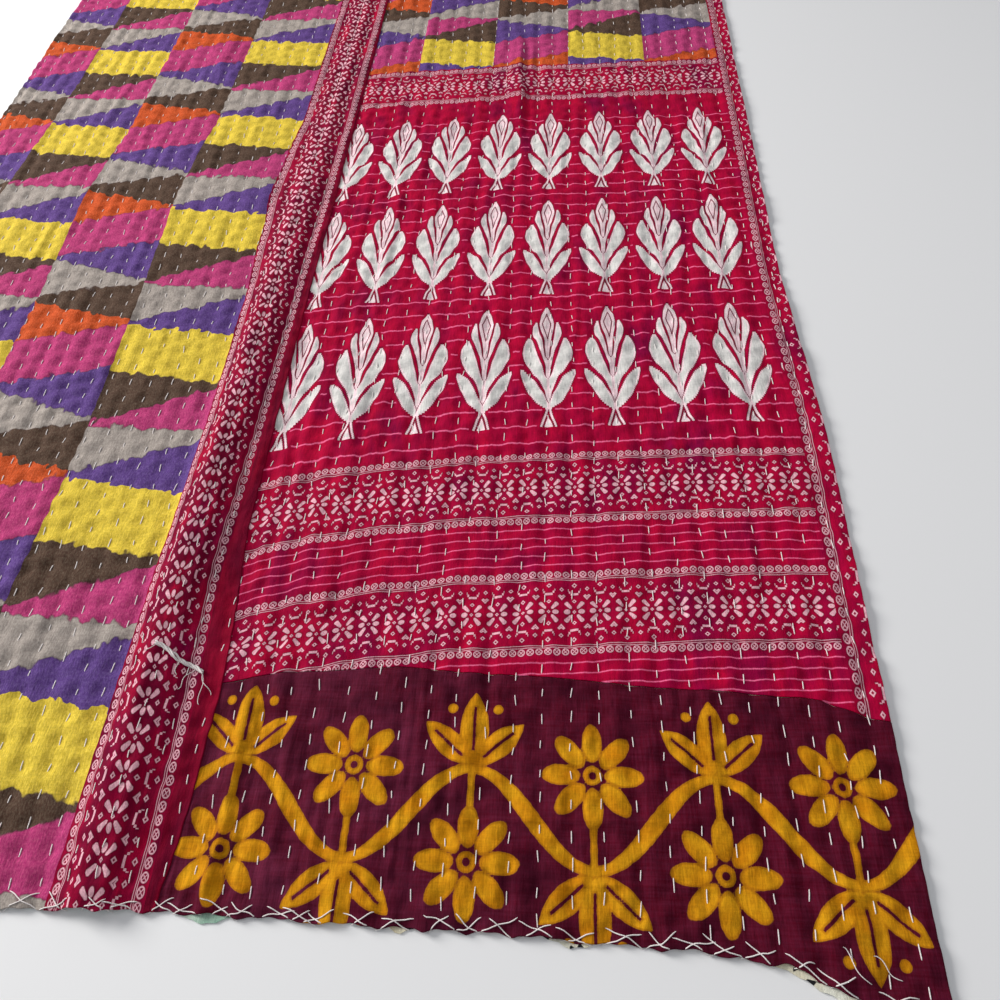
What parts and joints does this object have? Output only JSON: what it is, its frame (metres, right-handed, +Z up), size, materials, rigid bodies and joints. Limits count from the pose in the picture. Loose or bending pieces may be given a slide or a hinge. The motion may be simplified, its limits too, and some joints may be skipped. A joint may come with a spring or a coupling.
{
  "type": "kantha quilt",
  "caption": "Flat hand-stitched patchwork quilt of sari lengths over plain back cloth, with flower borders, a decorated end and a vine-print piece across the foot.",
  "frame": {"origin": "centre of the quilt's footprint, on the surface that it lies on", "axes": "+Y along the length from the foot to the head, +X to the right seen from the foot, +Z up"},
  "size_m": [1.5198, 2.2895, 0.0236],
  "materials": {
    "sari_left": "printed soft cotton, hand quilted",
    "sari_right": "printed soft cotton, hand quilted",
    "vine_print": "printed soft cotton, hand quilted",
    "mint_cloth": "worn plain cotton",
    "cream_cloth": "worn plain cotton"
  },
  "bodies": {
    "root": {"left_panel": "sari_left", "right_panel": "sari_right", "end_panel": "vine_print", "back_left": "mint_cloth", "back_right": "cream_cloth"}
  },
  "joints": []
}
